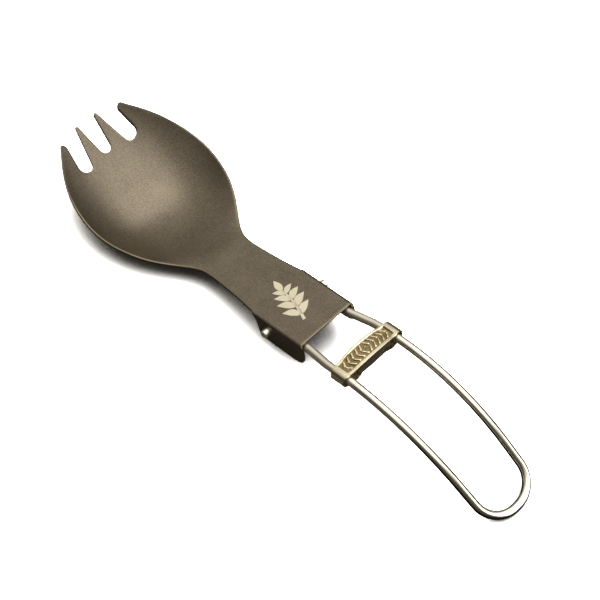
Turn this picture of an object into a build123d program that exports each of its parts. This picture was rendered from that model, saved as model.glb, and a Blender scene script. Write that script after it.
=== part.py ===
"""Folding picnic spork: pressed sheet head, bent wire handle and a sliding lock.

Millimetres. X runs from the tine tips to the handle's end loop, Y across the spork,
Z up from the table. Stations along X are written from the tine tips and moved to the
middle of the open spork by MIDDLE.
"""

import math
import os

from build123d import *

# driving dimensions
MIDDLE = 79.44             # station of the middle of the open spork
SHEET = 0.8                # sheet thickness of the head
WIRE_D = 2.4               # handle wire
BOWL_LOW = 30.0            # station of the bowl's lowest point
NECK_START = 55.0          # station where the bowl has run out into the flat neck
PLATE_TILT = 10.3          # degrees, rise of neck and channel
PLATE_END = (92.14, 12.98) # station and height of the channel's top rear edge
CHANNEL_LENGTH = 19.0
LAP = 0.02                 # channel web over and under the neck where they meet
CHANNEL_HALF = 9.8         # outside half width of the channel
CHANNEL_BEND = 1.0         # outside bend radius of the channel
PIVOT = (80.6, 7.75)       # station and height of the pivot axis
PIN_TIP = 11.7             # half the distance over the wire ends
LOOP_END = (158.5, 1.2)    # wire centre at the end of the loop
ARCH_RADIUS = 60.0
FRONT_RISE = 15.0          # degrees, the legs' climb out of the channel
REAR_FALL = 29.5           # degrees, the legs' fall to the end loop
LEG_HALF = 8.7             # wire centre from the middle where the arch starts
LEG_HALF_PIVOT = 7.25      # the same inside the channel
LEG_BULGE = 0.75           # how much further apart the legs' arch corners stand
LOCK_STATION = 106.5
LOCK_WIDTH_END = 4.3
LOCK_WIDTH_MID = 5.8
LOCK_WALL = 0.6
HOLE_REACH = 40.0          # length of the drill through both ears

# clearances
PIVOT_CLEARANCE = 0.06     # wire end in its hole, radial
LOCK_CLEARANCE = 0.25      # wire in the lock's eyes, radial
LOCK_SIDE = 0.6            # lock's eyes outside the legs where the arch starts

# rim of the head behind the tines: station, half width
RIM = [
    (3.2, 12.55), (5.4, 14.3), (7.6, 15.85), (10.6, 17.6), (14.3, 19.15), (17.7, 20.15),
    (21.1, 20.75), (24.9, 21.0), (29.3, 20.6), (34.1, 19.4), (38.3, 17.75), (42.0, 15.65),
    (45.3, 13.3), (48.5, 10.9), (50.8, 9.35), (53.4, 8.2), (56.65, 7.85), (60.8, 8.0),
    (64.9, 8.25), (69.0, 8.65), (73.3, 9.2), (76.2, 9.5),
]
# tines, from the outer tip to the middle slot: station, y, corner radius
TINES = [
    (1.03, 10.82, 1.05), (1.74, 9.2, 1.05), (9.15, 10.43, 1.72), (9.75, 6.75, 1.72),
    (-0.82, 3.92, 0.64), (-0.82, 2.79, 0.64), (8.1, 1.45, 1.6),
]
# how fast the bowl's walls rise: station, factor on |y|^WALL_POWER
WALL_POWER = 2.2
WALL_RISE = [
    (-6, 0.0105), (1.6, 0.0100), (5.4, 0.0087), (10.6, 0.0080), (17.7, 0.0087),
    (24.9, 0.00915), (30, 0.0093), (36, 0.0096), (40, 0.0090), (44, 0.0082),
    (47, 0.0068), (50, 0.0040), (53, 0.0010), (55, 0.0), (100, 0.0),
]
# ear of the channel, seen from the side: distance behind the plate end, depth
EAR = [
    (-18.6, 0.3), (-17.5, 1.3), (-16.8, 2.5), (-16.4, 6.3), (-14.6, 7.85), (-8.8, 8.0),
    (-3.6, 8.1), (-0.4, 7.3), (0.6, 5.0), (0.9, 3.6), (0.65, 1.9), (0.1, 0.3),
]


def rise(degrees):
    return math.tan(math.radians(degrees))


# half length of the lock across the spork
LOCK_HALF = LEG_HALF + WIRE_D / 2 + LOCK_SIDE + LOCK_WALL
# where the two straight runs of a leg would meet, seen from the side
ARCH_STATION = ((LOOP_END[0] * rise(REAR_FALL) + LOOP_END[1] - PIVOT[1] + PIVOT[0] * rise(FRONT_RISE))
                / (rise(FRONT_RISE) + rise(REAR_FALL)))
ARCH_RUN = ARCH_RADIUS * rise((FRONT_RISE + REAR_FALL) / 2)
ARCH_START = ARCH_STATION - ARCH_RUN * math.cos(math.radians(FRONT_RISE))
SPLAY_END = ARCH_START - 0.5 * WIRE_D      # the legs stop spreading here


def on_rise(station):
    """Height of the leg's front straight run."""
    return PIVOT[1] + (station - PIVOT[0]) * rise(FRONT_RISE)


# corners of one leg of the handle, from its turned-out end: station, y, height, bend radius
SPLAY_START = (PLATE_END[0] + 1.2 + min(0.0, SPLAY_END - PLATE_END[0] - 4.5))
LEG = [
    (PIVOT[0], PIN_TIP, PIVOT[1], 0),
    (PIVOT[0], LEG_HALF_PIVOT, PIVOT[1], 1.7),
    (SPLAY_START, LEG_HALF_PIVOT + 0.45, on_rise(SPLAY_START), 5 * WIRE_D),
    (SPLAY_END, LEG_HALF, on_rise(SPLAY_END), 5 * WIRE_D),
    (ARCH_STATION, LEG_HALF + LEG_BULGE, on_rise(ARCH_STATION), ARCH_RADIUS),
    (LOOP_END[0], LEG_HALF - 0.55, LOOP_END[1], LEG_HALF - 0.8),
]
# the lock rides round the legs on this circle: station, height, radius
LOCK_CIRCLE = (117.16, -46.94, 62.5)
LOCK_SLOPE = math.degrees(math.asin((LOCK_CIRCLE[0] - LOCK_STATION) / LOCK_CIRCLE[2]))
LOCK_SWING = LOCK_CIRCLE[2] - 0.13      # circle's centre to the legs' centre lines at the lock
EYE_REACH = 2.75           # how far in from the eye's outer round its inner round stands
EYE_LIFT = 0.1             # eye above the wire's centre
WEB_TOP = (3.0, 2.05)      # top of the web at the middle and over the legs
WEB_BOTTOM = -1.3
PANEL_DEPTH = 0.4          # recess in the lock's top
PANEL_RIM = 0.75           # rim left round it


def plate_height(station):
    return PLATE_END[1] + (station - PLATE_END[0]) * math.tan(math.radians(PLATE_TILT))


def centre_height(station):
    """Top of the sheet on the centre line."""
    if station < BOWL_LOW:
        run = (BOWL_LOW - station) / 20.5
        return SHEET + 18.0 * (math.sqrt(1 + run * run) - 1)
    if station < NECK_START:
        length = NECK_START - BOWL_LOW
        t = (station - BOWL_LOW) / length
        rise = plate_height(NECK_START) - SHEET
        slope = math.tan(math.radians(PLATE_TILT))
        return SHEET + rise * (3 * t**2 - 2 * t**3) + slope * length * (t**3 - t**2)
    return plate_height(station)


def interpolate(table, value):
    for (x0, y0), (x1, y1) in zip(table, table[1:]):
        if value <= x1:
            t = max(0.0, (value - x0) / (x1 - x0))
            return y0 + (y1 - y0) * t
    return table[-1][1]


def sheet_height(station, y):
    shifts = [(d, 5 - abs(d)) for d in range(-4, 5)]
    rise = sum(w * interpolate(WALL_RISE, station + d) for d, w in shifts) / 25
    return centre_height(station) + rise * abs(y) ** WALL_POWER


def at(station, y, z):
    return (station - MIDDLE, y, z)


def pressed_sheet():
    """The head's curved sheet before it is cut to outline; its top is the shape above."""
    rows = []
    for i in range(45):
        station = -5 + 83.0 * i / 44
        sides = [-25 + 50.0 * j / 24 for j in range(25)]
        rows.append([Vector(*at(station, y, sheet_height(station, y))) for y in sides])
    top = Face.make_surface_from_array_of_points(rows, tol=0.005, min_deg=3, max_deg=5)
    return Solid.thicken(top, -SHEET)


def plan():
    """Plan of the head, with its tines rounded."""
    front = [(s, y) for s, y, r in TINES] + [(s, -y) for s, y, r in reversed(TINES)]
    radii = [r for s, y, r in TINES] + [r for s, y, r in reversed(TINES)]
    front = [(s - MIDDLE, y) for s, y in front]
    rim = [(s - MIDDLE, y) for s, y in RIM]
    first, last, end = rim[0], rim[-2], rim[-1]
    leaving = (first[0] - front[0][0], first[1] - front[0][1])
    arriving = (end[0] - last[0], end[1] - last[1])
    side = Spline(*rim[:-1], tangents=(leaving, arriving))
    tines = FilletPolyline(first, *front, (first[0], -first[1]), radius=radii)
    square = Polyline(last, end, (end[0], -end[1]), (last[0], -last[1]))
    return make_face([*tines.edges(), side, mirror(side, about=Plane.XZ), *square.edges()])


def bowl():
    blank = extrude(Pos(0, 0, -5) * plan(), 40)
    return blank & pressed_sheet()


def channel():
    """Folded channel with its two ears, built level and then tilted into place."""
    with BuildSketch(Plane.YZ) as section:
        Rectangle(2 * CHANNEL_HALF, 12, align=(Align.CENTER, Align.MAX))
        fillet([v for v in section.vertices() if v.Z > -1], CHANNEL_BEND)
        with Locations((0, -SHEET - 2 * LAP)):
            Rectangle(2 * (CHANNEL_HALF - SHEET), 12, align=(Align.CENTER, Align.MAX),
                      mode=Mode.SUBTRACT)
    fold = extrude(section.sketch, CHANNEL_LENGTH + 1.2)
    fold = Pos(-CHANNEL_LENGTH, 0, 0) * fold
    with BuildSketch(Plane.XZ) as ear:
        with BuildLine():
            Polyline(*[(u, -v) for u, v in EAR], close=True)
        make_face()
        low = [v for v in ear.vertices() if v.Z < -7]
        fillet(low, 0.6)
    ears = extrude(ear.sketch, CHANNEL_HALF + 1, both=True)
    web = Box(CHANNEL_LENGTH, 2 * CHANNEL_HALF, CHANNEL_BEND + 0.4,
              align=(Align.MAX, Align.CENTER, Align.MAX))
    level = fold & (ears + web)
    return Pos(*at(PLATE_END[0], 0, PLATE_END[1] + LAP)) * Rot(0, -PLATE_TILT, 0) * level


def spork_head():
    head = bowl() + channel()
    hole = Cylinder(WIRE_D / 2 + PIVOT_CLEARANCE, HOLE_REACH, rotation=(90, 0, 0))
    return head - Pos(*at(PIVOT[0], 0, PIVOT[1])) * hole


def wire_handle():
    """One bent wire: turned-out ends, two arched legs and the loop at the end."""
    side = [(x, y, z) for x, y, z, r in LEG]
    radii = [r for x, y, z, r in LEG][1:]
    points = side + [(x, -y, z) for x, y, z in reversed(side)]
    path = FilletPolyline(*[at(*p) for p in points], radius=radii + radii[::-1])
    disc = Plane(origin=at(*side[0]), z_dir=(0, -1, 0)) * Circle(WIRE_D / 2)
    wire = sweep(disc, path=path)
    ends = [e for e in wire.edges().filter_by(GeomType.CIRCLE)
            if abs(e.center().Y) > PIN_TIP - 0.01]
    return fillet(ends, 0.5)


def eye(grow):
    """Rounded space round one wire, in the section of the lock, or its outside."""
    radius = WIRE_D / 2 + LOCK_CLEARANCE + grow
    outer = LOCK_HALF - LOCK_WALL - WIRE_D / 2 - LOCK_CLEARANCE
    inner = outer - EYE_REACH + LOCK_WALL
    middle = Pos((inner + outer) / 2, EYE_LIFT) * Rectangle(outer - inner, 2 * radius)
    return middle + Pos(inner, EYE_LIFT) * Circle(radius) + Pos(outer, EYE_LIFT) * Circle(radius)


def lens(end, middle, reach):
    """Plan that is widest at the middle: half widths at the ends and the middle."""
    sides = [ThreePointArc((s * end, -reach), (s * middle, 0), (s * end, reach)) for s in (-1, 1)]
    ends = [Line((-end, y), (end, y)) for y in (-reach, reach)]
    return make_face(sides + ends)


def under_crown(reach, drop, low):
    """Section below the lock's crowned top, lowered by drop."""
    crown = ThreePointArc((-reach, WEB_TOP[1] - drop), (0, WEB_TOP[0] - drop),
                          (reach, WEB_TOP[1] - drop))
    return make_face([crown, Polyline((reach, WEB_TOP[1] - drop), (reach, low),
                                      (-reach, low), (-reach, WEB_TOP[1] - drop))])


def slide_lock():
    """Pinched ring: an eye round each leg, joined by a thin crowned web."""
    web_reach = LOCK_HALF - LOCK_WALL - WIRE_D - 2 * LOCK_CLEARANCE
    outside, hole = eye(LOCK_WALL), eye(0)
    section = under_crown(web_reach, 0, WEB_BOTTOM) + outside + mirror(outside, about=Plane.YZ)
    section -= hole + mirror(hole, about=Plane.YZ)
    deep = 2 * LOCK_WIDTH_MID
    round_wires = Axis((0, 0, -LOCK_SWING), (0, 1, 0))
    sweep_angle = math.degrees(2 * LOCK_WIDTH_MID / LOCK_CIRCLE[2])
    profile = Plane.YZ * section
    ring = revolve(profile.rotate(round_wires, -sweep_angle / 2), round_wires, sweep_angle)
    ring &= extrude(lens(LOCK_WIDTH_END / 2, LOCK_WIDTH_MID / 2, LOCK_HALF), deep, both=True)
    panel = extrude(lens(LOCK_WIDTH_END / 2 - PANEL_RIM, LOCK_WIDTH_MID / 2 - PANEL_RIM,
                         web_reach + PANEL_RIM), deep)
    floor = extrude(Plane.YZ * under_crown(LOCK_HALF, PANEL_DEPTH, -deep), LOCK_WIDTH_MID, both=True)
    top = Pos(*at(LOCK_CIRCLE[0], 0, LOCK_CIRCLE[1])) * Rot(0, -LOCK_SLOPE, 0)
    return top * Pos(0, 0, LOCK_SWING) * (ring - (panel - floor))


if __name__ == "__main__":
    os.makedirs("parts", exist_ok=True)
    export_step(spork_head(), "parts/spork_head.step")
    export_step(wire_handle(), "parts/wire_handle.step")
    export_step(slide_lock(), "parts/slide_lock.step")
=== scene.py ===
# %% [markdown]
# # A folding camping spork in titanium
# The spork has three real pieces: a pressed sheet head with a folded channel, a bent wire
# handle and a pinched lock that rides on the two wires. Each is made here as a surface
# worked out on a grid, because pressed sheet and drawn wire are exactly that: a flat or
# round section carried over a smooth shape. The main sizes are those that the solids were
# drawn with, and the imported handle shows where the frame's middle lies among them.

# %% Load the frame
import math

import bmesh
import bpy
import numpy as np
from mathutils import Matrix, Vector
from mathutils.kdtree import KDTree


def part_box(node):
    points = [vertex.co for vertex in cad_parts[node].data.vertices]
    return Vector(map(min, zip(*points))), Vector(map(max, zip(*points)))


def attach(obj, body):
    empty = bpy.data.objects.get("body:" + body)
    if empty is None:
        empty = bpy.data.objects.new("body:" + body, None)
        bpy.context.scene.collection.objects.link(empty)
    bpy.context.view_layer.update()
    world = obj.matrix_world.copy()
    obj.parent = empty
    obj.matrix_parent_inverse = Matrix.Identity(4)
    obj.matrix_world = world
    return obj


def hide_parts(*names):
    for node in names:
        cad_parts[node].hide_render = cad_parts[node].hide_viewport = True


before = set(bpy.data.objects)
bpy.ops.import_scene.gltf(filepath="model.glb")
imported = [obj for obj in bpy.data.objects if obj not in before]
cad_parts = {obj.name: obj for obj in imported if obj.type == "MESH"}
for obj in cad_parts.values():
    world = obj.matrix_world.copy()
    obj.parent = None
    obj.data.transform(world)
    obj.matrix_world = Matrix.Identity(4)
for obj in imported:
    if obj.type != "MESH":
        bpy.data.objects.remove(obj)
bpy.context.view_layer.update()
MM = 0.001
LOOP_REACH = 159.7          # station of the loop's outermost point
head_low, head_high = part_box("spork_head")
wire_low, wire_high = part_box("wire_handle")
MIDDLE = LOOP_REACH - wire_high.x / MM
print("station of the middle", round(MIDDLE, 3), "mm")
print("head and handle are", round((head_high.x - head_low.x) / MM, 1), "and",
      round((wire_high.x - wire_low.x) / MM, 1), "mm long")

# %% [markdown]
# ## Helpers
# Stations along the spork are millimetres from the tine tips, as in a drawing office. One
# helper turns arrays of station, side and height into a mesh, another stitches a grid of
# points into quads. Every surface below is a formula on such a grid.


# %% From arrays to meshes
def mesh_object(name, points, faces, smooth=True):
    """Object from an (n, 3) array in stations, side and height (mm) and a list of faces."""
    place = np.asarray(points, float).copy()
    place[:, 0] -= MIDDLE
    mesh = bpy.data.meshes.new(name)
    mesh.from_pydata((place * MM).tolist(), [], [list(map(int, f)) for f in faces])
    mesh.update()
    if smooth:
        mesh.polygons.foreach_set("use_smooth", np.ones(len(mesh.polygons), bool))
    piece = bpy.data.objects.new(name, mesh)
    bpy.context.scene.collection.objects.link(piece)
    return piece


def grid_faces(rows, columns, close_columns=False):
    """Quads of a grid whose point (i, j) is number i * columns + j."""
    row = np.arange(rows - 1)[:, None] * columns
    j = np.arange(columns if close_columns else columns - 1)[None, :]
    j2 = (j + 1) % columns
    quads = np.stack([row + j, row + j2, row + columns + j2, row + columns + j], -1)
    return quads.reshape(-1, 4)


def finish_modifier(piece, kind, **settings):
    """Adds one modifier with its settings."""
    modifier = piece.modifiers.new(kind.title(), kind)
    for key, value in settings.items():
        setattr(modifier, key, value)


print("a grid of 3 by 4 points has", len(grid_faces(3, 4)), "quads")

# %% [markdown]
# ## The head's shape
# The head is one sheet 0.8 mm thick pressed between two dies. Its height is a formula: a
# hyperbola along the middle from the tines down to the lowest point, an S up to the neck,
# and walls that rise with the side distance to the power 2.2. Neck and channel are one
# straight plate tilted by 10.3 degrees.

# %% Height of the pressed sheet
SHEET = 0.8
BOWL_LOW, NECK_START = 30.0, 55.0
PLATE_TILT = math.radians(10.3)
PLATE_END = (92.14, 12.98)
DIP_RUN, DIP_LIFT = 20.5, 18.0      # half axes of the hyperbola in front of the lowest point
WALL_POWER = 2.2
WALL_BLEND = 5              # the walls' rise is averaged over this far along to each side
WALL_RISE = np.array([
    (-6, 0.0105), (1.6, 0.0100), (5.4, 0.0087), (10.6, 0.0080), (17.7, 0.0087),
    (24.9, 0.00915), (30, 0.0093), (36, 0.0096), (40, 0.0090), (44, 0.0082),
    (47, 0.0068), (50, 0.0040), (53, 0.0010), (55, 0.0), (100, 0.0)])


def plate_height(station):
    """Top of the tilted plate: a straight line through the channel's rear edge."""
    return PLATE_END[1] + (station - PLATE_END[0]) * math.tan(PLATE_TILT)


def sheet_height(station, side):
    """Centre line height plus wall rise times |side| to the power 2.2."""
    run = (BOWL_LOW - station) / DIP_RUN
    front = SHEET + DIP_LIFT * (np.sqrt(1 + run**2) - 1)
    length = NECK_START - BOWL_LOW
    t = np.clip((station - BOWL_LOW) / length, 0, 1)
    lift = plate_height(NECK_START) - SHEET
    back = (SHEET + lift * (3 * t**2 - 2 * t**3)
            + math.tan(PLATE_TILT) * length * (t**3 - t**2))
    centre = np.where(station < BOWL_LOW, front, back)
    centre = np.where(station > NECK_START, plate_height(station), centre)
    rise = sum((WALL_BLEND - abs(d)) * np.interp(station + d, WALL_RISE[:, 0], WALL_RISE[:, 1])
               for d in range(1 - WALL_BLEND, WALL_BLEND)) / WALL_BLEND**2
    return centre + rise * np.abs(side)**WALL_POWER


print("the sheet's top is", round(float(sheet_height(BOWL_LOW, 0.0)), 2), "mm up at its lowest and",
      round(float(sheet_height(NECK_START, 0.0)), 2), "mm where the neck starts")

# %% [markdown]
# ## The outline of the head
# A press tool's outline is straight cuts with rounded corners in front, where the tines are,
# and one flowing curve along the rim. The corners become true arcs: each corner is cut off
# where an arc of its radius touches both runs.

# %% Rounded runs and smooth curves
def rounded_path(corners, radii, step):
    """Points every step along straight runs whose corners are arcs of the given radii."""
    corners = np.asarray(corners, float)
    points = [corners[0]]
    for before, corner, after, radius in zip(corners, corners[1:], corners[2:], radii):
        a = (before - corner) / np.linalg.norm(before - corner)
        b = (after - corner) / np.linalg.norm(after - corner)
        half = math.acos(np.clip(a @ b, -1, 1)) / 2
        start, end = corner + a * radius / math.tan(half), corner + b * radius / math.tan(half)
        centre = corner + (a + b) / np.linalg.norm(a + b) * radius / math.sin(half)
        turn = math.pi - 2 * half
        t = np.linspace(0, 1, max(4, int(turn * radius / step) + 1))[:, None]
        arm, other = start - centre, end - centre
        points += list(centre + (np.sin((1 - t) * turn) * arm + np.sin(t * turn) * other)
                       / math.sin(turn))
    points.append(corners[-1])
    return np.array(points)


def resample(points, share):
    """The same line at the given shares of its length, or at that many even shares."""
    share = np.linspace(0, 1, share) if np.isscalar(share) else share
    lengths = np.r_[0, np.cumsum(np.linalg.norm(np.diff(points, axis=0), axis=1))]
    keep = np.r_[True, np.diff(lengths) > 1e-9]
    at = share * lengths[-1]
    return np.stack([np.interp(at, lengths[keep], axis[keep]) for axis in points.T], -1)


def smooth_table(table, at):
    """Cubic through the table's points, with slopes taken from each point's neighbours."""
    x, y = np.asarray(table, float).T
    slope = np.gradient(y, x)
    i = np.clip(np.searchsorted(x, at) - 1, 0, len(x) - 2)
    h = x[i + 1] - x[i]
    t = (at - x[i]) / h
    return ((2 * t**3 - 3 * t**2 + 1) * y[i] + (t**3 - 2 * t**2 + t) * h * slope[i]
            + (3 * t**2 - 2 * t**3) * y[i + 1] + (t**3 - t**2) * h * slope[i + 1])


square = rounded_path([(0, 0), (10, 0), (10, 10)], [2.0], 0.5)
print("a corner of 10 and 10 mm rounded to 2 mm has", len(square), "points")

# %% Rim and tines
RIM = [
    (3.2, 12.55), (5.4, 14.3), (7.6, 15.85), (10.6, 17.6), (14.3, 19.15), (17.7, 20.15),
    (21.1, 20.75), (24.9, 21.0), (29.3, 20.6), (34.1, 19.4), (38.3, 17.75), (42.0, 15.65),
    (45.3, 13.3), (48.5, 10.9), (50.8, 9.35), (53.4, 8.2), (56.65, 7.85), (60.8, 8.0),
    (64.9, 8.25), (69.0, 8.65), (73.3, 9.2), (76.2, 9.5)]
# corners from the outer tine's tip to the middle slot: station, side, radius
TINES = [(1.03, 10.82, 1.05), (1.74, 9.2, 1.05), (9.15, 10.43, 1.72), (9.75, 6.75, 1.72),
         (-0.82, 3.92, 0.64), (-0.82, 2.79, 0.64), (8.1, 1.45, 1.6)]
BASE_STATION = 8.0          # rim station where the outer tines begin
ROOT_RUN = 11.0             # the roots' form fades out over this run behind it
WIDEST = 24.9
print("rim half width at its widest", round(float(smooth_table(RIM, np.array(WIDEST))), 2), "mm")

# %% [markdown]
# ## Four tines, one bowl
# The plan is cut into patches that are each a plain grid. A tine is ruled between its two
# edges, which meet in a pole at the rounded tip. The bowl starts at a line that runs over
# the tines' roots and round the slots' bottoms, and straightens out row by row.

# %% Edges of the tines
EDGE = SHEET / 2
EDGE_STEPS = EDGE * (1 - np.cos(np.radians([0, 18, 36, 54, 72, 90])))   # lines close to a cut edge
ROUND_STEP = 0.1            # distance of the points round a corner
front_stations = np.linspace(BASE_STATION, RIM[0][0], 12)
rim_front = np.stack([front_stations, smooth_table(RIM, front_stations)], -1)
corner = [np.array(t[:2]) for t in TINES]
radius = [t[2] for t in TINES]
mirror_y = np.array([1, -1])
tip_outer, tip_inner = (corner[0] + corner[1]) / 2, (corner[4] + corner[5]) / 2


def arc_between(before, point, after, size):
    """Only the arc that rounds one corner, from its first touching point to its last."""
    return rounded_path([before, point, after], [size], ROUND_STEP)[1:-1]


slot_low = arc_between(corner[1], corner[2], corner[3], radius[2])
slot_high = arc_between(corner[2], corner[3], corner[4], radius[3])
slot_arc = np.vstack([slot_low, slot_high])
mid_half = arc_between(corner[5], corner[6], corner[6] * mirror_y, radius[6])
mid_arc = np.vstack([mid_half, (mid_half * mirror_y)[::-1]])
rim_to_tip = rounded_path([rim_front[-1], corner[0], tip_outer], [radius[0]], ROUND_STEP)
outer_rim_edge = np.vstack([rim_front, rim_to_tip[1:]])
outer_slot_edge = rounded_path([slot_arc[0], corner[1], tip_outer], [radius[1]], ROUND_STEP)
inner_slot_edge = rounded_path([slot_arc[-1], corner[4], tip_inner], [radius[4]], ROUND_STEP)
inner_mid_edge = rounded_path([mid_arc[0], corner[5], tip_inner], [radius[5]], ROUND_STEP)
print("points round the side slot and the middle slot", len(slot_arc), "and", len(mid_arc))

# %% Patches of the head in plan
TINE_ROWS, TINE_COLUMNS, ARC_COLUMNS = 34, 6, 16


def crowded(span, count):
    """Places along a span: close together near both ends, even in between."""
    near = EDGE_STEPS * np.minimum(1, span / 2 / EDGE)
    inner = near[..., -1:] + (span - 2 * near[..., -1:]) * np.linspace(0, 1, count + 1)
    return np.concatenate([near[..., :-1], inner, span - near[..., -2::-1]], -1)


def ruled(edge_a, edge_b, rows, columns):
    """Straight lines between two edges that run from root to tip."""
    reach = np.linalg.norm(edge_a[-1] - edge_a[0])
    share = 1 - np.r_[np.linspace(1, EDGE / reach, rows), EDGE_STEPS[-2::-1] / reach]
    a, b = resample(edge_a, share), resample(edge_b, share)
    wide = np.maximum(np.linalg.norm(b - a, axis=1), 1e-9)[:, None]
    s = (crowded(wide, columns) / wide)[..., None]
    return a[:, None] * (1 - s) + b[:, None] * s


tines = [ruled(outer_rim_edge, outer_slot_edge, TINE_ROWS, TINE_COLUMNS),
         ruled(inner_slot_edge, inner_mid_edge, TINE_ROWS, TINE_COLUMNS)]
root_half = np.vstack([
    tines[0][0], resample(slot_arc, 2 * ARC_COLUMNS + 1)[1:-1], tines[1][0],
    resample(mid_arc, 2 * ARC_COLUMNS + 1)[1:ARC_COLUMNS + 1]])
root = np.vstack([root_half, (root_half[:-1] * mirror_y)[::-1]])
root_run = np.r_[0, np.cumsum(np.linalg.norm(np.diff(root, axis=0), axis=1))]
near_rim = len(EDGE_STEPS) - 1
inner_run = (root_run - root_run[near_rim]) / (root_run[-1] - 2 * root_run[near_rim])


def spread(half):
    """Sides of all columns for each half width: spaced as the roots are, crowded at the rims."""
    half = half[:, None]
    sides = (half - EDGE) * (1 - 2 * inner_run)
    sides[:, :near_rim] = half - EDGE_STEPS[:-1]
    sides[:, -near_rim:] = -half + EDGE_STEPS[-2::-1]
    return sides


print("columns across the bowl", len(root) - 1)

# %% Bowl and neck patch, and the flat of the channel
CHANNEL_HALF, CHANNEL_BEND = 9.8, 1.0
CHANNEL_START = -18.7       # behind the plate end, measured along the plate
SHOULDER = 1.8              # length in which the neck widens to the channel
FINE_END = 58               # station up to which the rows stand close
BOWL_ROWS, NECK_ROWS, PLATE_ROWS = 90, 17, 40
cos_tilt, sin_tilt = math.cos(PLATE_TILT), math.sin(PLATE_TILT)
neck_end = PLATE_END[0] + CHANNEL_START * cos_tilt
stations = np.r_[
    BASE_STATION + EDGE_STEPS[:-1],
    np.linspace(BASE_STATION + EDGE, FINE_END, BOWL_ROWS),
    np.linspace(FINE_END, neck_end, NECK_ROWS)[1:]]
fade = np.clip((stations - BASE_STATION) / ROOT_RUN, 0, 1)
fade = (1 - fade)**2 * (1 + 2 * fade)
width = smooth_table(RIM, stations)
wall_factor = sheet_height(stations, 1.0) - sheet_height(stations, 0.0)
wall_slope = WALL_POWER * wall_factor * width**(WALL_POWER - 1)
top_width = width - SHEET / 2 * (1 - fade) * np.sin(np.arctan(wall_slope))
bowl = np.stack([
    stations[:, None] + fade[:, None] * (root[None, :, 0] - BASE_STATION),
    (1 - fade[:, None]) * spread(top_width)
    + fade[:, None] * top_width[:, None] * root[None, :, 1] / root[0, 1]], -1)

along = CHANNEL_START + crowded(np.array([-CHANNEL_START]), PLATE_ROWS)
ease = np.clip((along - CHANNEL_START) / SHOULDER, 0, 1)
flat_half = width[-1] + (CHANNEL_HALF - CHANNEL_BEND - width[-1]) * ease**2 * (3 - 2 * ease)
plate = np.stack([
    np.broadcast_to((PLATE_END[0] + along * cos_tilt)[:, None], (len(along), len(root))),
    spread(flat_half)], -1)


def pressed(plan):
    """Plan points lifted onto the pressed sheet."""
    return np.concatenate([plan, sheet_height(plan[..., 0], plan[..., 1])[..., None]], -1)


print("rows along bowl and neck", len(stations), "and along the channel", len(along))

# %% [markdown]
# ## The ears
# The channel's sides are folded down round a 1 mm bend and then run straight. Seen from
# the side an ear is a patch between four edges: the fold, a steep front, a nearly straight
# bottom and a rear edge that stands a little past the flat. Each point's depth is wound
# round the bend to find its place.

# %% Ear patch with the pivot hole
PIVOT = np.array([80.6, 7.75])
HOLE_RADIUS = 1.26
EAR_FRONT = [(-18.7, 0.0), (-17.6, 1.1), (-16.85, 2.4), (-16.45, 6.0), (-15.6, 7.5)]
EAR_BOTTOM = [(-15.6, 7.5), (-14.4, 7.85), (-8.8, 8.0), (-3.6, 8.1), (-1.6, 7.85)]
EAR_REAR = [(0.0, 0.0), (0.3, 0.6), (0.68, 1.9), (0.9, 3.7), (0.55, 5.6), (-0.35, 7.15),
            (-1.6, 7.85)]
EAR_DEPTH, EAR_ROWS = 8, 27
ear_share = 1 - np.r_[np.linspace(1, EDGE / EAR_DEPTH, EAR_ROWS), EDGE_STEPS[-2::-1] / EAR_DEPTH]


def softened(points, share, count=160, passes=60):
    """A polyline with its corners worn round by averaging, ends kept."""
    line = resample(np.array(points, float), count)
    for _ in range(passes):
        line[1:-1] = (line[:-2] + line[2:] + 2 * line[1:-1]) / 4
    return resample(line, share)


ear_top = np.stack([along, np.zeros_like(along)], -1)
ear_bottom = softened(EAR_BOTTOM, (along - along[0]) / -along[0])
ear_front, ear_rear = softened(EAR_FRONT, ear_share), softened(EAR_REAR, ear_share)
s = ((along - along[0]) / (along[-1] - along[0]))[:, None, None]
t = ear_share[None, :, None]
four_edges = ((1 - t) * ear_top[:, None] + t * ear_bottom[:, None]
              + (1 - s) * ear_front[None] + s * ear_rear[None]
              - (1 - s) * (1 - t) * ear_top[0] - s * (1 - t) * ear_top[-1]
              - (1 - s) * t * ear_bottom[0] - s * t * ear_bottom[-1])
depth = np.maximum(four_edges[..., 1], 0)
arc = np.arccos(np.clip(1 - depth / CHANNEL_BEND, 0, 1))
ear_side = flat_half[:, None] + (CHANNEL_HALF - flat_half[:, None]) * np.sin(arc)
run = four_edges[..., 0]
ear = np.stack([
    PLATE_END[0] + run * cos_tilt + depth * sin_tilt, ear_side,
    PLATE_END[1] + run * sin_tilt - depth * cos_tilt], -1)
print("ear depth", round(float(depth.max()), 2), "mm")

# %% [markdown]
# ## One sheet
# The patches are put in one mesh and their shared points merged, so bowl, tines, channel
# and ears are a single skin, as the pressing is. Points at the rim of the pivot hole are
# pulled onto a circle. A second skin then lies one sheet thickness below: straight down
# under the tines, which were cut by a vertical punch, and along the surface's own
# direction in the bowl, which was drawn. Near a cut edge both skins close to a half
# circle, because tumbling wears such edges round, and that line catches the light.
# A Solidify modifier would be shorter, but it widens the steep walls and keeps sharp edges.

# %% Put the patches in one mesh
def side_pair(patch):
    """A patch and its mirror image across the middle."""
    return [patch, patch * np.array([1, -1, 1])]


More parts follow.
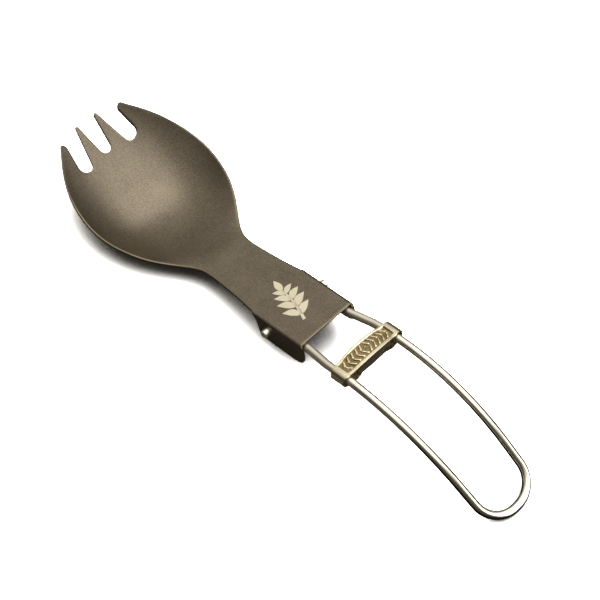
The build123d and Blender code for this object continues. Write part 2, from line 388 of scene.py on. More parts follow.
def punch(patch, keep):
    """Faces of the patch whose middles lie outside the hole; its points snap to the circle."""
    centre = patch.reshape(-1, 3)
    offset = centre[:, [0, 2]] - PIVOT
    reach = np.linalg.norm(offset, axis=1)
    faces = keep[reach[keep].mean(1) > HOLE_RADIUS]
    cut = keep[reach[keep].mean(1) <= HOLE_RADIUS]
    edge = np.intersect1d(cut.ravel(), faces.ravel())
    moved = PIVOT + offset[edge] / reach[edge, None] * HOLE_RADIUS
    centre[edge, 0], centre[edge, 2] = moved[:, 0], moved[:, 1]
    return centre, faces


patches = [pressed(bowl), pressed(plate)]
for tine in tines:
    patches += side_pair(pressed(tine))
points, faces = [], []
for patch in patches + side_pair(ear):
    quads = grid_faces(*patch.shape[:2])
    flat = patch.reshape(-1, 3)
    if patch.shape == ear.shape:
        flat, quads = punch(patch.copy(), quads)
    faces.append(quads + sum(len(p) for p in points))
    points.append(flat)
head = mesh_object("head_sheet", np.vstack(points), np.vstack(faces))
print("patches of the head", len(faces), "with", len(head.data.polygons), "quads")


# %% Weld the patches
def weld(piece, gap=0.001 * MM):
    """Merges shared points, drops lost ones and turns faces to one side."""
    work = bmesh.new()
    work.from_mesh(piece.data)
    bmesh.ops.remove_doubles(work, verts=work.verts, dist=gap)
    bmesh.ops.dissolve_degenerate(work, edges=work.edges, dist=gap / 4)
    bmesh.ops.delete(work, geom=[v for v in work.verts if not v.link_faces], context="VERTS")
    bmesh.ops.recalc_face_normals(work, faces=work.faces)
    work.to_mesh(piece.data)
    work.free()
    piece.data.update()


weld(head)
up = sum(p.normal.z * p.area for p in head.data.polygons)
if up < 0:
    head.data.flip_normals()
print("points after welding", len(head.data.vertices), "and the skin was turned over:", up < 0)

# %% Give the sheet its thickness
STEEPEST = 0.3              # least rise of a normal that the depth straight down allows for
NEAR_HOLE = 1.2             # edges within this many hole radii of the pivot are the hole's
RIM_POINTS = 16             # places along each rim edge that the inset is measured from
WORN_SHARE = 0.8            # faces nearer a cut edge than this many half sheets are tumbled


def thicken(piece, sheet):
    """Lower skin: straight down under the tines, turning to along the normal in the bowl.

    The two skins stand half a sheet off the surface midway between them. Within half a
    sheet of a cut edge they close in as a half circle does. The pivot holes' walls, and
    the rims next to them, stay straight.
    """
    mesh = piece.data
    count = len(mesh.vertices)
    top, normal = np.empty(count * 3), np.empty(count * 3)
    mesh.vertices.foreach_get("co", top)
    mesh.vertices.foreach_get("normal", normal)
    top, normal = top.reshape(-1, 3), normal.reshape(-1, 3)
    turn = np.clip((top[:, 0] / MM + MIDDLE - BASE_STATION) / ROOT_RUN, 0, 1)[:, None]
    turn = turn**2 * (3 - 2 * turn)
    down = np.array([[0, 0, 1.0]]) / np.maximum(normal[:, 2:], STEEPEST)
    half = sheet / 2 * (turn * normal + (1 - turn) * down)
    faces = [list(p.vertices) for p in mesh.polygons]
    used = {(a, b) for f in faces for a, b in zip(f, f[1:] + f[:1])}
    rim = np.array([(a, b) for a, b in used if (b, a) not in used])
    reach = np.linalg.norm(top[:, [0, 2]] / MM + [MIDDLE, 0] - PIVOT, axis=1)
    bored = reach < HOLE_RADIUS * NEAR_HOLE
    hole = rim[bored[rim[:, 0]]]
    rim = rim[~bored[rim[:, 0]]]
    line = (top[rim[:, :1]] + (top[rim[:, 1:]] - top[rim[:, :1]])
            * np.linspace(0, 1, RIM_POINTS)[:, None]).reshape(-1, 3)
    tree = KDTree(len(line))
    for number, point in enumerate(line):
        tree.insert(point, number)
    tree.balance()
    inset = np.array([tree.find(point)[2] for point in top])
    inset[rim.ravel()] = 0
    share = np.sqrt(1 - np.clip(1 - inset / (sheet / 2), 0, 1)**2)[:, None]
    skins = np.vstack([top - half + half * share, top - half - half * share])
    under = np.arange(count) + count
    under[rim.ravel()] = rim.ravel()
    edges = [bool(inset[f].mean() < WORN_SHARE * sheet / 2) for f in faces]
    faces += [under[f[::-1]].tolist() for f in faces]
    faces += [[b, a, under[a], under[b]] for a, b in hole.tolist()]
    mesh.clear_geometry()
    mesh.from_pydata(skins.tolist(), [], faces)
    mesh.polygons.foreach_set("use_smooth", np.ones(len(mesh.polygons), bool))
    finish = np.array(edges * 2 + [True] * len(hole), np.int32)
    mesh.polygons.foreach_set("material_index", finish)
    mesh.update()


thicken(head, SHEET * MM)
print("head quads", len(head.data.polygons))

# %% [markdown]
# ## The wire handle
# Drawn wire keeps its round section through every bend, so the handle is one circle
# carried along the bending line: straight runs joined by arcs of the bender's radii. The
# circle is turned as little as possible from one station to the next, which keeps the
# grid from twisting. The ends, which are also the pivot pins, are rounded off.

# %% Bending line of the wire
WIRE_D = 2.4
PIN_TIP = 11.7
FRONT_RISE, REAR_FALL = math.radians(15.0), math.radians(29.5)
LOOP_END = np.array([158.5, 1.2])
ARCH_RADIUS, LEG_HALF, LEG_HALF_PIVOT, LEG_BULGE = 60.0, 8.7, 7.25, 0.75
SPLAY_GAP = 1.2             # the legs turn outwards this far behind the plate's end
SPLAY_OUT = 0.45            # and stand this much wider there than at the pins
LOOP_TUCK = 0.55            # at the loop they stand this much closer than where the arch starts
PIN_BEND, LEG_BEND, LOOP_BEND = 1.7, 5 * WIRE_D, LEG_HALF - 0.8
BEND_STEP, TUBE_STEP = 0.35, 0.45
arch_station = ((LOOP_END[0] * math.tan(REAR_FALL) + LOOP_END[1] - PIVOT[1]
                 + PIVOT[0] * math.tan(FRONT_RISE)) / (math.tan(FRONT_RISE) + math.tan(REAR_FALL)))
arch_run = ARCH_RADIUS * math.tan((FRONT_RISE + REAR_FALL) / 2)
splay_end = arch_station - arch_run * math.cos(FRONT_RISE) - WIRE_D / 2
splay_start = PLATE_END[0] + SPLAY_GAP


def on_rise(station):
    """Height of the straight run that climbs out of the channel."""
    return PIVOT[1] + (station - PIVOT[0]) * math.tan(FRONT_RISE)


leg = np.array([
    (PIVOT[0], PIN_TIP, PIVOT[1]), (PIVOT[0], LEG_HALF_PIVOT, PIVOT[1]),
    (splay_start, LEG_HALF_PIVOT + SPLAY_OUT, on_rise(splay_start)),
    (splay_end, LEG_HALF, on_rise(splay_end)),
    (arch_station, LEG_HALF + LEG_BULGE, on_rise(arch_station)),
    (LOOP_END[0], LEG_HALF - LOOP_TUCK, LOOP_END[1])])
bend = [PIN_BEND, LEG_BEND, LEG_BEND, ARCH_RADIUS, LOOP_BEND]
other_leg = (leg * np.array([1, -1, 1]))[::-1]
route = rounded_path(np.vstack([leg, other_leg]), bend + bend[::-1], BEND_STEP)
length = np.linalg.norm(np.diff(route, axis=0), axis=1).sum()
route = resample(route, int(length / TUBE_STEP))
print("wire length", round(float(length), 1), "mm")

# %% Tube along the line
TUBE_SIDES, PIN_ROUND, CAP_RINGS = 40, 0.5, 6


def tube(route, radius, around, end_round):
    """Circle carried along the route by the smallest turns, with rounded ends to poles."""
    tangent = np.gradient(route, axis=0)
    tangent /= np.linalg.norm(tangent, axis=1, keepdims=True)
    side = np.array([0.0, 0.0, 1.0])
    frames = []
    for t in tangent:
        side = side - t * (side @ t)
        side /= np.linalg.norm(side)
        frames.append((side, np.cross(t, side)))
    frames = np.array(frames)
    turn = np.linspace(0, np.pi / 2, CAP_RINGS)[:-1, None]
    angle = np.arange(around) * 2 * np.pi / around
    ring = (np.cos(angle)[None, :, None] * frames[:, 0][:, None]
            + np.sin(angle)[None, :, None] * frames[:, 1][:, None])
    full = route[:, None] + radius * ring
    inset, thin = end_round * (1 - np.cos(turn)), radius - end_round + end_round * np.sin(turn)
    body = (np.linalg.norm(route - route[0], axis=1) > end_round) & (
        np.linalg.norm(route - route[-1], axis=1) > end_round)
    head_cap = (route[0] + tangent[0] * inset)[:, None] + thin[..., None] * ring[0]
    tail_cap = (route[-1] - tangent[-1] * inset)[:, None] + thin[..., None] * ring[-1]
    rings = np.concatenate([head_cap, full[body], tail_cap[::-1]])
    count = len(rings)
    faces = grid_faces(count, around, close_columns=True).tolist()
    points = np.vstack([rings.reshape(-1, 3), route[:1], route[-1:]])
    pole, last = count * around, (count - 1) * around
    faces += [[pole, (j + 1) % around, j] for j in range(around)]
    faces += [[pole + 1, last + j, last + (j + 1) % around] for j in range(around)]
    return points, faces


wire_points, wire_faces = tube(route, WIRE_D / 2, TUBE_SIDES, PIN_ROUND)
wire = mesh_object("bent_wire", wire_points, wire_faces)
weld(wire)
print("wire faces", len(wire.data.polygons))

# %% [markdown]
# ## The slide lock
# The lock is a ring of sheet pinched flat between the wires, so its section is an eye round
# each wire with a crowned web between them. The section is a closed outline with two holes;
# half of it is an annulus of quads between a hole and the outline. Carried round the wires'
# arch and widened in the middle it gives the lens shape seen from above. The top is sunk
# inside a rim, with raised grip ribs standing in the hollow.

# %% Section of the lock
LOCK_STATION = 106.5
LOCK_CIRCLE = np.array([117.16, -46.94, 62.5])      # station and height of its centre, radius
LEG_SAG = 0.13              # at the lock the legs' centre lines lie this far inside the circle
LOCK_SWING = LOCK_CIRCLE[2] - LEG_SAG
LOCK_WALL, LOCK_CLEARANCE = 0.6, 0.25
LOCK_BEYOND = 1.2           # the lock reaches this far past the wires' outer sides
LOCK_HALF = LEG_HALF + WIRE_D / 2 + LOCK_BEYOND
EYE_RADIUS, EYE_LIFT, EYE_RUN = WIRE_D / 2 + LOCK_CLEARANCE, 0.1, 2.15
EYE_OUTER = LOCK_HALF - LOCK_WALL - EYE_RADIUS
EYE_INNER = EYE_OUTER - EYE_RUN
END_HALF_WIDTH, MIDDLE_HALF_WIDTH = 2.15, 2.9
WEB_TOP, WEB_BOTTOM = (3.0, 2.05), -1.3             # the top at the middle and over the legs
WEB_REACH = LOCK_HALF - LOCK_WALL - WIRE_D - 2 * LOCK_CLEARANCE
CROWN_END = 0.4             # the crown stops this far in from the eye's outer round
SECTION_POINTS, CUT_POINTS, RINGS = 190, 22, 9


def crown(side):
    """Arc through the web's top at the middle and over the legs."""
    drop = WEB_TOP[0] - WEB_TOP[1]
    big = (WEB_REACH**2 + drop**2) / (2 * drop)
    return WEB_TOP[0] - big + np.sqrt(big**2 - side**2)


def arc_points(centre, size, first, last, count):
    """Points on a circle from one angle to another, in degrees."""
    a = np.radians(np.linspace(first, last, count))
    return np.stack([centre[0] + size * np.cos(a), centre[1] + size * np.sin(a)], -1)


outside_radius = EYE_RADIUS + LOCK_WALL
top_run = np.linspace(0, EYE_OUTER - CROWN_END, 60)
top_line = np.stack([top_run, np.maximum(crown(top_run), EYE_LIFT + outside_radius)], -1)
end_round = arc_points((EYE_OUTER, EYE_LIFT), outside_radius, 90, -90, 40)
neck_angle = -180 + math.degrees(math.asin((EYE_LIFT - WEB_BOTTOM) / outside_radius))
under_eye = arc_points((EYE_INNER, EYE_LIFT), outside_radius, -90, neck_angle, 16)
outline = resample(np.vstack([top_line, end_round, under_eye, [[0, WEB_BOTTOM]]]), SECTION_POINTS)
outline[0], outline[-1] = (0, WEB_TOP[0]), (0, WEB_BOTTOM)
cut_line = np.linspace(outline[-1], outline[0], CUT_POINTS)[1:-1]
loop = np.vstack([outline, cut_line])
eye_centre = np.array([(EYE_INNER + EYE_OUTER) / 2, EYE_LIFT])


def eye_rim(direction):
    """Where a ray from the eye's middle leaves the eye: two half circles and a straight."""
    half = (EYE_OUTER - EYE_INNER) / 2
    c, s = direction[:, 0], direction[:, 1]
    flat = EYE_RADIUS / np.maximum(np.abs(s), 1e-9)
    round_end = half * np.abs(c) + np.sqrt(np.maximum(EYE_RADIUS**2 - (half * s)**2, 0))
    return np.where(np.abs(c) * flat <= half, flat, round_end)


ray = loop - eye_centre
ray /= np.linalg.norm(ray, axis=1, keepdims=True)
hole = eye_centre + ray * eye_rim(ray)[:, None]
blend = np.linspace(0, 1, RINGS)[:, None, None]
annulus = hole * (1 - blend) + loop * blend          # rings, points round, (side, height)
print("half the section has", RINGS, "rings of", len(loop), "points round the eye")

# %% Plan and relief of the lock
PANEL_DEPTH, PANEL_RIM, PANEL_REACH = 0.42, 0.78, 8.3
RIM_SHIFT = 0.15            # the recess lies off the middle, so the rim is wider on the loop side
RIB_PITCH, RIB_WIDTH, RIB_HEIGHT, RIB_SLANT = 1.5, 0.62, 0.36, 0.55
RIB_INSET, RIB_END_INSET = 0.35, 0.5                # the ribs stop this far inside the rim
RIB_PARTING = 0.14          # half the smooth strip between the two rows of ribs
SEAM_SHORT = 2.2            # the seam ends this far short of the eyes' inner rounds
LOWER_BACK, LOWER_TOP = 0.35, 0.95                  # lower layer: how far back, up to where
SEAM_DEPTH, SEAM_LIFT, SEAM_WIDTH = 0.18, 0.8, 0.13


def lock_place(across, side, lift):
    """Point of the lock: width is wound round the wires' arch, height is its radius."""
    angle = across / LOCK_CIRCLE[2] - math.asin((LOCK_CIRCLE[0] - LOCK_STATION) / LOCK_CIRCLE[2])
    reach = LOCK_SWING + lift
    return np.stack(np.broadcast_arrays(
        LOCK_CIRCLE[0] + reach * np.sin(angle), side, LOCK_CIRCLE[1] + reach * np.cos(angle)), -1)


def half_width(side):
    """Lens in plan: widest at the middle, falling with the side distance squared."""
    return END_HALF_WIDTH + (MIDDLE_HALF_WIDTH - END_HALF_WIDTH) * (1 - (side / LOCK_HALF)**2)


def step_up(value, soft):
    """Smooth step from 0 to 1 as value passes 0, over a width of soft."""
    t = np.clip(value / soft + 0.5, 0, 1)
    return t * t * (3 - 2 * t)


def top_relief(across, side):
    """Hollow inside the rim, less the ribs: slanted bars in two facing rows."""
    across = across + RIM_SHIFT
    inside = (step_up(half_width(side) - PANEL_RIM - np.abs(across), soft=0.22)
              * step_up(PANEL_REACH - np.abs(side), soft=0.3))
    phase = (side + RIB_SLANT * np.abs(across)) / RIB_PITCH
    bar = step_up(RIB_WIDTH / 2 - np.abs(phase - np.round(phase)) * RIB_PITCH, soft=0.2)
    within = (step_up(half_width(side) - PANEL_RIM - RIB_INSET - np.abs(across), soft=0.25)
              * step_up(PANEL_REACH - RIB_END_INSET - np.abs(side), soft=0.3)
              * step_up(np.abs(across) - RIB_PARTING, soft=0.16))
    return -PANEL_DEPTH * inside + RIB_HEIGHT * bar * within


def front_relief(side, lift):
    """The pinched lower layer stands back from the upper one, with a seam between them."""
    web = step_up(EYE_INNER - SEAM_SHORT - np.abs(side), soft=0.9)
    lower = LOWER_BACK * step_up(LOWER_TOP - lift, soft=0.25)
    return web * (lower + SEAM_DEPTH * np.exp(-((lift - SEAM_LIFT) / SEAM_WIDTH)**2))


print("the lock is", round(2 * half_width(0.0), 2), "mm wide in the middle and",
      round(2 * half_width(LOCK_HALF), 2), "mm at its ends")

# %% Carry the section round the arch
ACROSS = 61
TOP_LIFT, TOP_MARGIN = 1.9, 0.5     # relief only above this height, to this far past the panel
RECESS_SHARE = 0.7          # faces deeper than this share of the panel are the recess's floor
EDGE_ROUND, EDGE_ANGLE = 0.22, 50
q = np.linspace(-1, 1, ACROSS)
skin_side, skin_lift = outline[None, :, 0], outline[None, :, 1]
skin_across = q[:, None] * (half_width(skin_side) - front_relief(skin_side, skin_lift))
on_top = (skin_lift > TOP_LIFT) & (skin_side < PANEL_REACH + TOP_MARGIN)
relief = np.where(on_top, top_relief(skin_across, np.broadcast_to(skin_side, skin_across.shape)), 0)
outer_skin = lock_place(skin_across, skin_side, skin_lift + relief)
hole_side, hole_lift = hole[None, :, 0], hole[None, :, 1]
hole_skin = lock_place(q[::4][:, None] * half_width(hole_side), hole_side, hole_lift)
faces_of_lock = [outer_skin, np.concatenate([hole_skin, hole_skin[:, :1]], 1)]
for sign in (-1, 1):
    side, lift = annulus[..., 0], annulus[..., 1]
    across = sign * (half_width(side) - front_relief(side, lift))
    wall = lock_place(across, side, lift)
    faces_of_lock.append(np.concatenate([wall, wall[:, :1]], 1))
points, faces = [], []
for patch in faces_of_lock:
    for half in side_pair(patch):
        faces.append(grid_faces(*half.shape[:2]) + sum(len(p) for p in points))
        points.append(half.reshape(-1, 3))
lock = mesh_object("slide_lock_ring", np.vstack(points), np.vstack(faces))
of_face = (relief[:-1, :-1] + relief[1:, :-1] + relief[:-1, 1:] + relief[1:, 1:]) / 4
deep = of_face < -RECESS_SHARE * PANEL_DEPTH
dull = np.zeros(len(lock.data.polygons), np.int32)
dull[:deep.size] = dull[deep.size:2 * deep.size] = deep.ravel()
lock.data.polygons.foreach_set("material_index", dull)
weld(lock)
finish_modifier(lock, "BEVEL", width=EDGE_ROUND * MM, segments=3, limit_method="ANGLE",
                angle_limit=math.radians(EDGE_ANGLE))
print("lock faces", len(lock.data.polygons), "of which", int(dull.sum()), "are the recess's floor")

# %% [markdown]
# ## An etched sprig
# The channel's flat carries a pale mark. Laser etching burns the blasted grey off and leaves
# bare bright metal, so the mark lies in the surface. It is a plain sprig: a curved stem with
# almond leaves, each leaf ruled between two arcs. It is a skin of a fiftieth of a millimetre
# that hugs the tilted plate. A skin keeps the mark's edge sharp at any distance, which a
# colour painted by nodes on the plate's own faces would not.

# %% Sprig on the plate
ETCH_LIFT, ETCH_DEPTH = 0.03, 0.02
STEM_BASE, STEM_RUN, STEM_RISE, STEM_TURN = (86.6, -2.4), 11.4, 3.1, 1.5
STEM_ROWS, STEM_HALF = 30, (0.42, 0.2)              # half widths at the base and at the tip
STEM_ACROSS = np.array([0.25, 1.0])
HEADING, SPREAD = 166, 52   # degrees: way the stem points, and leaf to stem
PAIRS = ((0.16, 5.0), (0.40, 5.2), (0.64, 4.6), (0.86, 3.6))      # place on the stem, length
LEAF_ROWS, LEAF_COLUMNS = 26, 9
LEAF_SLIM, LEAF_BOW = 0.22, 0.1                     # half width and bow, as shares of the length
LEAF_SKEW = 0.85            # under 1, so a leaf is fullest nearer its root
PAIR_GAP = 0.1              # leaves of a pair start this far off the middle


def leaf(root, angle, size, wide, bow):
    """Almond: half width is a sine along a slightly bowed rib."""
    t = np.linspace(0, 1, LEAF_ROWS)[:, None]
    s = np.linspace(-1, 1, LEAF_COLUMNS)[None, :]
    x = size * t + 0 * s
    y = wide * np.sin(np.pi * t**LEAF_SKEW) * s + bow * size * np.sin(np.pi * t)
    c, k = math.cos(math.radians(angle)), math.sin(math.radians(angle))
    return np.stack([root[0] + c * x - k * y, root[1] + k * x + c * y], -1)


def stem_at(t):
    """Centre of the stem: a gentle quarter of a sine from the base to the tip."""
    return np.stack([STEM_BASE[0] - STEM_RUN * t,
                     STEM_BASE[1] + STEM_RISE * np.sin(t * STEM_TURN)], -1)


stem_mid = stem_at(np.linspace(0, 1, STEM_ROWS))
stem_side = np.linspace(*STEM_HALF, STEM_ROWS)[:, None] * STEM_ACROSS
etched = [np.stack([stem_mid - stem_side, stem_mid + stem_side], 1)]
for place, size in PAIRS:
    for side in (1, -1):
        root = stem_at(np.array(place)) + [0, PAIR_GAP * side]
        etched.append(leaf(root, HEADING - SPREAD * side, size, size * LEAF_SLIM, LEAF_BOW * side))
etched.append(leaf(stem_at(np.array(0.98)), angle=168, size=4.4, wide=1.0, bow=0.0))
points, faces = [], []
for patch in etched:
    lifted = np.concatenate([patch, plate_height(patch[..., :1]) + ETCH_LIFT], -1)
    faces.append(grid_faces(*patch.shape[:2]) + sum(len(p) for p in points))
    points.append(lifted.reshape(-1, 3))
sprig = mesh_object("etched_sprig", np.vstack(points), np.vstack(faces), smooth=False)
weld(sprig, gap=0.0005 * MM)
if sum(p.normal.z * p.area for p in sprig.data.polygons) < 0:
    sprig.data.flip_normals()
finish_modifier(sprig, "SOLIDIFY", thickness=ETCH_DEPTH * MM, offset=-1)
print("the sprig has", len(etched), "patches and", len(sprig.data.polygons), "faces")

# %% [markdown]
# ## Finishes
# All three pieces are titanium, and only the way each was finished differs. The sheet was
# bead blasted, which leaves a fine matt grain that scatters light. The wire was drawn and
# then tumbled to a satin. The lock was polished and heat tinted to a pale gold. A metal's
# colour is the colour of its reflection, so it is all in the base colour.


# %% Node helpers
BLOTCH_MM = 9.0             # size of the slow drift in tone
GRAIN_SHARE = 0.7           # part of the tone that follows the fine grain


def linear(code):
    """sRGB hex code to linear colour with alpha."""
    value = np.array([int(code[i:i + 2], 16) for i in (1, 3, 5)]) / 255
    value = np.where(value <= 0.04045, value / 12.92, ((value + 0.055) / 1.055)**2.4)
    return (*value, 1.0)


def node(tree, kind, links=None, **settings):
    """Adds a node; settings are attributes or input names, links join inputs to outputs."""
    new = tree.nodes.new(kind)
    for key, value in settings.items():
        if hasattr(new, key):
            setattr(new, key, value)
        else:
            new.inputs[key.replace("_", " ").title()].default_value = value
    for key, source in (links or {}).items():
        tree.links.new(source, new.inputs[key])
    return new


def metal(name, dark, light, roughness, grain_mm, grain_depth, rough_spread=0.06):
    """Metal whose colour drifts between two tones and whose surface has a fine grain."""
    material = bpy.data.materials.new(name)
    material.use_nodes = True
    tree = material.node_tree
    shader = tree.nodes["Principled BSDF"]
    shader.inputs["Metallic"].default_value = 1.0
    place = {"Vector": node(tree, "ShaderNodeTexCoord").outputs["Object"]}
    blotch = node(tree, "ShaderNodeTexNoise", place, Scale=1 / (BLOTCH_MM * MM), Detail=3.0)
    grain = node(tree, "ShaderNodeTexNoise", place, Scale=1 / (grain_mm * MM), Detail=2.0)
    tone = node(tree, "ShaderNodeMix", {2: blotch.outputs[0], 3: grain.outputs[0]})
    tone.inputs[0].default_value = GRAIN_SHARE
    ramp = node(tree, "ShaderNodeValToRGB", {"Fac": tone.outputs[0]})
    for stop, (position, code) in zip(ramp.color_ramp.elements, ((0.36, dark), (0.64, light))):
        stop.position, stop.color = position, linear(code)
    tree.links.new(ramp.outputs[0], shader.inputs["Base Color"])
    rough = node(tree, "ShaderNodeMapRange", {"Value": grain.outputs[0]})
    rough.inputs["To Min"].default_value = roughness - rough_spread
    rough.inputs["To Max"].default_value = roughness + rough_spread
    tree.links.new(rough.outputs[0], shader.inputs["Roughness"])
    bump = node(tree, "ShaderNodeBump", {"Height": grain.outputs[0]}, Strength=1.0)
    bump.inputs["Distance"].default_value = grain_depth * MM
    tree.links.new(bump.outputs[0], shader.inputs["Normal"])
    return material


print("half way up the screen's scale is", round(linear("#808080")[0], 3), "of the light")

# %% The three titanium finishes and the etched mark
# Blasted titanium: fine pits break every highlight into one soft, matt sheen. Real pits
# are about 0.1 mm wide; they are drawn at 0.34 mm so that they show.
blasted = metal("bead blasted titanium", "#665d50", "#837968",
                roughness=0.36, grain_mm=0.34, grain_depth=0.010)
# Tumbled wire: the oxide is rubbed off among ceramic chips, so it mirrors softly and its
# round section draws one bright line between darker flanks.
satin = metal("tumbled titanium wire", "#ece4cf", "#faf4e6",
              roughness=0.19, grain_mm=0.12, grain_depth=0.0004, rough_spread=0.04)
# Where the lock slides up to the channel it scuffs the wire, so the shine there is duller.
# This roughness along the wire takes the place of the even one given above.
tree = satin.node_tree
place = tree.nodes["Texture Coordinate"].outputs["Object"]
along_wire = node(tree, "ShaderNodeSeparateXYZ", {0: place})
scuff = node(tree, "ShaderNodeMapRange", {"Value": along_wire.outputs["X"]}, From_Min=0.028,
             From_Max=0.034, To_Min=0.40, To_Max=0.18, interpolation_type="SMOOTHSTEP")
tree.links.new(scuff.outputs[0], tree.nodes["Principled BSDF"].inputs["Roughness"])
# Polished titanium with a heat tint: a thin oxide skin gives the pale gold, the polish
# gives small sharp lights along every rounded edge.
golden = metal("polished heat tinted titanium", "#d6c9a8", "#efe5ca",
               roughness=0.17, grain_mm=0.3, grain_depth=0.003)
# Polish never reaches the floor of the recess, which keeps the brown of the heat tint.
recess = metal("heat tinted recess", "#7a6840", "#9c8960",
               roughness=0.42, grain_mm=0.2, grain_depth=0.004)
# The sheet's cut edges are tumbled smooth, so they shine paler than the blasted faces.
worn = metal("tumbled titanium edge", "#6f6551", "#847965",
             roughness=0.36, grain_mm=0.2, grain_depth=0.002)
# The laser burns the blasted grey off and leaves bare titanium: pale, even and rather dull.
etch = metal("laser etched titanium", "#d8cfb4", "#efe8d2",
             roughness=0.6, grain_mm=0.2, grain_depth=0.004)
print("finishes", [finish.name for finish in (blasted, satin, golden, recess, worn, etch)])

# %% Who wears what
for piece, material, body, cad, slot in (
        (head, blasted, "head", "spork_head", "blasted_titanium"),
        (wire, satin, "handle", "wire_handle", "satin_wire"),
        (lock, golden, "lock", "slide_lock", "gold_lock")):
    piece.data.materials.append(material)
    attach(piece, body)
    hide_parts(cad)
head.data.materials.append(worn)
lock.data.materials.append(recess)
sprig.data.materials.append(etch)
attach(sprig, "head")
print("finishes on each piece", [len(piece.data.materials) for piece in (head, wire, lock, sprig)])

# %% [markdown]
# ## Table, light and camera
# The spork lies on a white table under a broad soft lamp. Metal shows what stands round it,
# so a graded dome does most of the work: pale overhead and towards the far side, brown
# below, which gives the bowl its one broad light and its dark walls. A softbox overhead
# and a card at the handle's end draw the bright lines along the wires. Only the camera
# sees the table and the backdrop white. The metal sees a grey card instead, painted shade
# that darkens its reflections of the table, and under the loop that card is painted nearly
# black, a painted shade that draws the dark flanks of the wires. Where the spork stands
# close over the table, the white has a painted shadow, darkened by how much open sky it has.
# The camera looks down at 57 degrees through a long lens, from the near side behind the
# handle.

# %% Floor
TABLE_HALF, TABLE_DROP = 3.0, 0.00005       # metres; the drop keeps it clear of the spork
# Painted shade: the grey the metal sees, going nearly black under the loop, where the wires mirror
# the table in their own shade.
CARD_PAINTED_SHADE = ((0, "#5a574f"), (1, "#141310"))         # what the metal sees: before and under the loop
# Painted shadow: a ramp from nearly black, where the table has little open sky, up to the camera's
# white.
PAINTED_SHADOW_RAMP = ((0.38, (0.25, 0.24, 0.23, 1.0)), (0.74, (4.2, 4.22, 4.26, 1.0)))   # open sky and white
floor_mesh = bpy.data.meshes.new("table")
corners = np.array([(-1, -1, 0), (1, -1, 0), (1, 1, 0), (-1, 1, 0)]) * TABLE_HALF
floor_mesh.from_pydata(corners.tolist(), [], [(0, 1, 2, 3)])
table = bpy.data.objects.new("table", floor_mesh)
bpy.context.scene.collection.objects.link(table)
table.location.z = -TABLE_DROP
white = bpy.data.materials.new("white card")
white.use_nodes = True
tree = white.node_tree
tree.nodes.clear()
output = node(tree, "ShaderNodeOutputMaterial")
spot = node(tree, "ShaderNodeSeparateXYZ", {0: node(tree, "ShaderNodeTexCoord").outputs["Object"]})
# Painted shade under the loop: the card darkens from 34 to 50 mm past the middle.
painted_shade_under_loop = node(tree, "ShaderNodeMapRange", {"Value": spot.outputs["X"]}, From_Min=0.034,
                  From_Max=0.050)
tone = node(tree, "ShaderNodeValToRGB", {"Fac": painted_shade_under_loop.outputs[0]})
for stop, (position, code) in zip(tone.color_ramp.elements, CARD_PAINTED_SHADE):
    stop.position, stop.color = position, linear(code)
card = node(tree, "ShaderNodeBsdfDiffuse", {"Color": tone.outputs["Color"]})
# Painted shadow: ambient occlusion over 17 mm darkens the camera's white under and beside the
# spork.
open_sky = node(tree, "ShaderNodeAmbientOcclusion", Distance=0.017)
shade = node(tree, "ShaderNodeValToRGB", {"Fac": open_sky.outputs["AO"]})
for stop, (position, colour) in zip(shade.color_ramp.elements, PAINTED_SHADOW_RAMP):
    stop.position, stop.color = position, colour
seen = node(tree, "ShaderNodeBsdfDiffuse", {"Color": shade.outputs["Color"]})
ray = node(tree, "ShaderNodeLightPath")
mix = node(tree, "ShaderNodeMixShader", {"Fac": ray.outputs["Is Camera Ray"], 1: card.outputs[0],
                                         2: seen.outputs[0]})
tree.links.new(mix.outputs[0], output.inputs[0])
floor_mesh.materials.append(white)
print("the table is", 2 * TABLE_HALF, "m square and its card has", len(tree.nodes), "nodes")

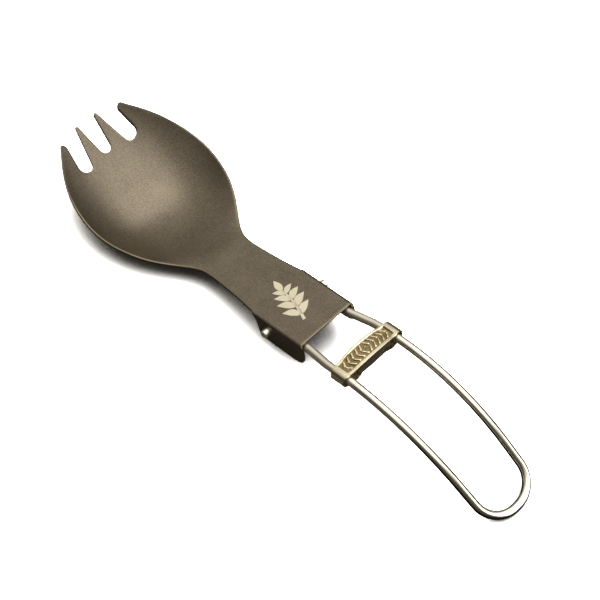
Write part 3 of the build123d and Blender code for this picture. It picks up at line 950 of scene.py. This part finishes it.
# %% World
SKY_AXIS, SKY_POWER = (-0.20, 0.22, 0.95), 1.15     # way to the palest part of the dome
world = bpy.data.worlds.new("studio")
bpy.context.scene.world = world
world.use_nodes = True
tree = world.node_tree
where = node(tree, "ShaderNodeTexCoord").outputs["Generated"]
facing = node(tree, "ShaderNodeVectorMath", {0: where}, operation="DOT_PRODUCT")
facing.inputs[1].default_value = SKY_AXIS
sky = node(tree, "ShaderNodeValToRGB", {"Fac": facing.outputs["Value"]})
for stop, (position, code) in zip(sky.color_ramp.elements, ((0.43, "#454036"), (0.97, "#fbf8f2"))):
    stop.position, stop.color = position, linear(code)
tree.links.new(sky.outputs[0], tree.nodes["Background"].inputs["Color"])
backdrop = node(tree, "ShaderNodeBackground", Color=(1.0, 1.0, 1.0, 1.0), Strength=1.0)
ray = node(tree, "ShaderNodeLightPath")
mix = node(tree, "ShaderNodeMixShader", {"Fac": ray.outputs["Is Camera Ray"],
                                         1: tree.nodes["Background"].outputs[0],
                                         2: backdrop.outputs[0]})
tree.links.new(mix.outputs[0], tree.nodes["World Output"].inputs["Surface"])
tree.nodes["Background"].inputs["Strength"].default_value = SKY_POWER
print("the dome has power", SKY_POWER, "and", len(tree.nodes), "nodes")


# %% Lamps
def lamp(name, place, size, power):
    """Square soft lamp that faces the middle of the spork; lengths in metres."""
    data = bpy.data.lights.new(name, "AREA")
    data.shape, data.size, data.energy = "SQUARE", size, power
    light = bpy.data.objects.new(name, data)
    light.location = place
    light.rotation_euler = (-Vector(place)).to_track_quat("-Z", "Y").to_euler()
    bpy.context.scene.collection.objects.link(light)
    print(name, "of", power, "W stands", round(Vector(place).length, 2), "m away")


lamp("softbox", (0.04, 0.30, 0.80), size=1.0, power=4.0)
lamp("side card", (0.64, 0.36, 0.28), size=0.6, power=3.2)

# %% Camera
ELEVATION, TURN = math.radians(57.04), math.radians(44.586)
LENS, SENSOR, DISTANCE = 114.0, 36.0, 510.3
AIM_STATION, AIM_SIDE = 76.17, 6.51
AIM = Vector(((AIM_STATION - MIDDLE) * MM, AIM_SIDE * MM, 0))
away = Vector((-math.sin(TURN), math.cos(TURN), 0))
look = math.cos(ELEVATION) * away - math.sin(ELEVATION) * Vector((0, 0, 1))
camera_data = bpy.data.cameras.new("camera")
camera_data.lens, camera_data.sensor_width = LENS, SENSOR
camera_data.clip_start = 0.01
camera = bpy.data.objects.new("camera", camera_data)
camera.location = AIM - DISTANCE * MM * look
camera.rotation_euler = look.to_track_quat("-Z", "Y").to_euler()
bpy.context.scene.collection.objects.link(camera)
bpy.context.scene.camera = camera
bpy.context.scene.view_settings.view_transform = "Standard"
print("the camera stands at", [round(v, 3) for v in camera.location], "m")
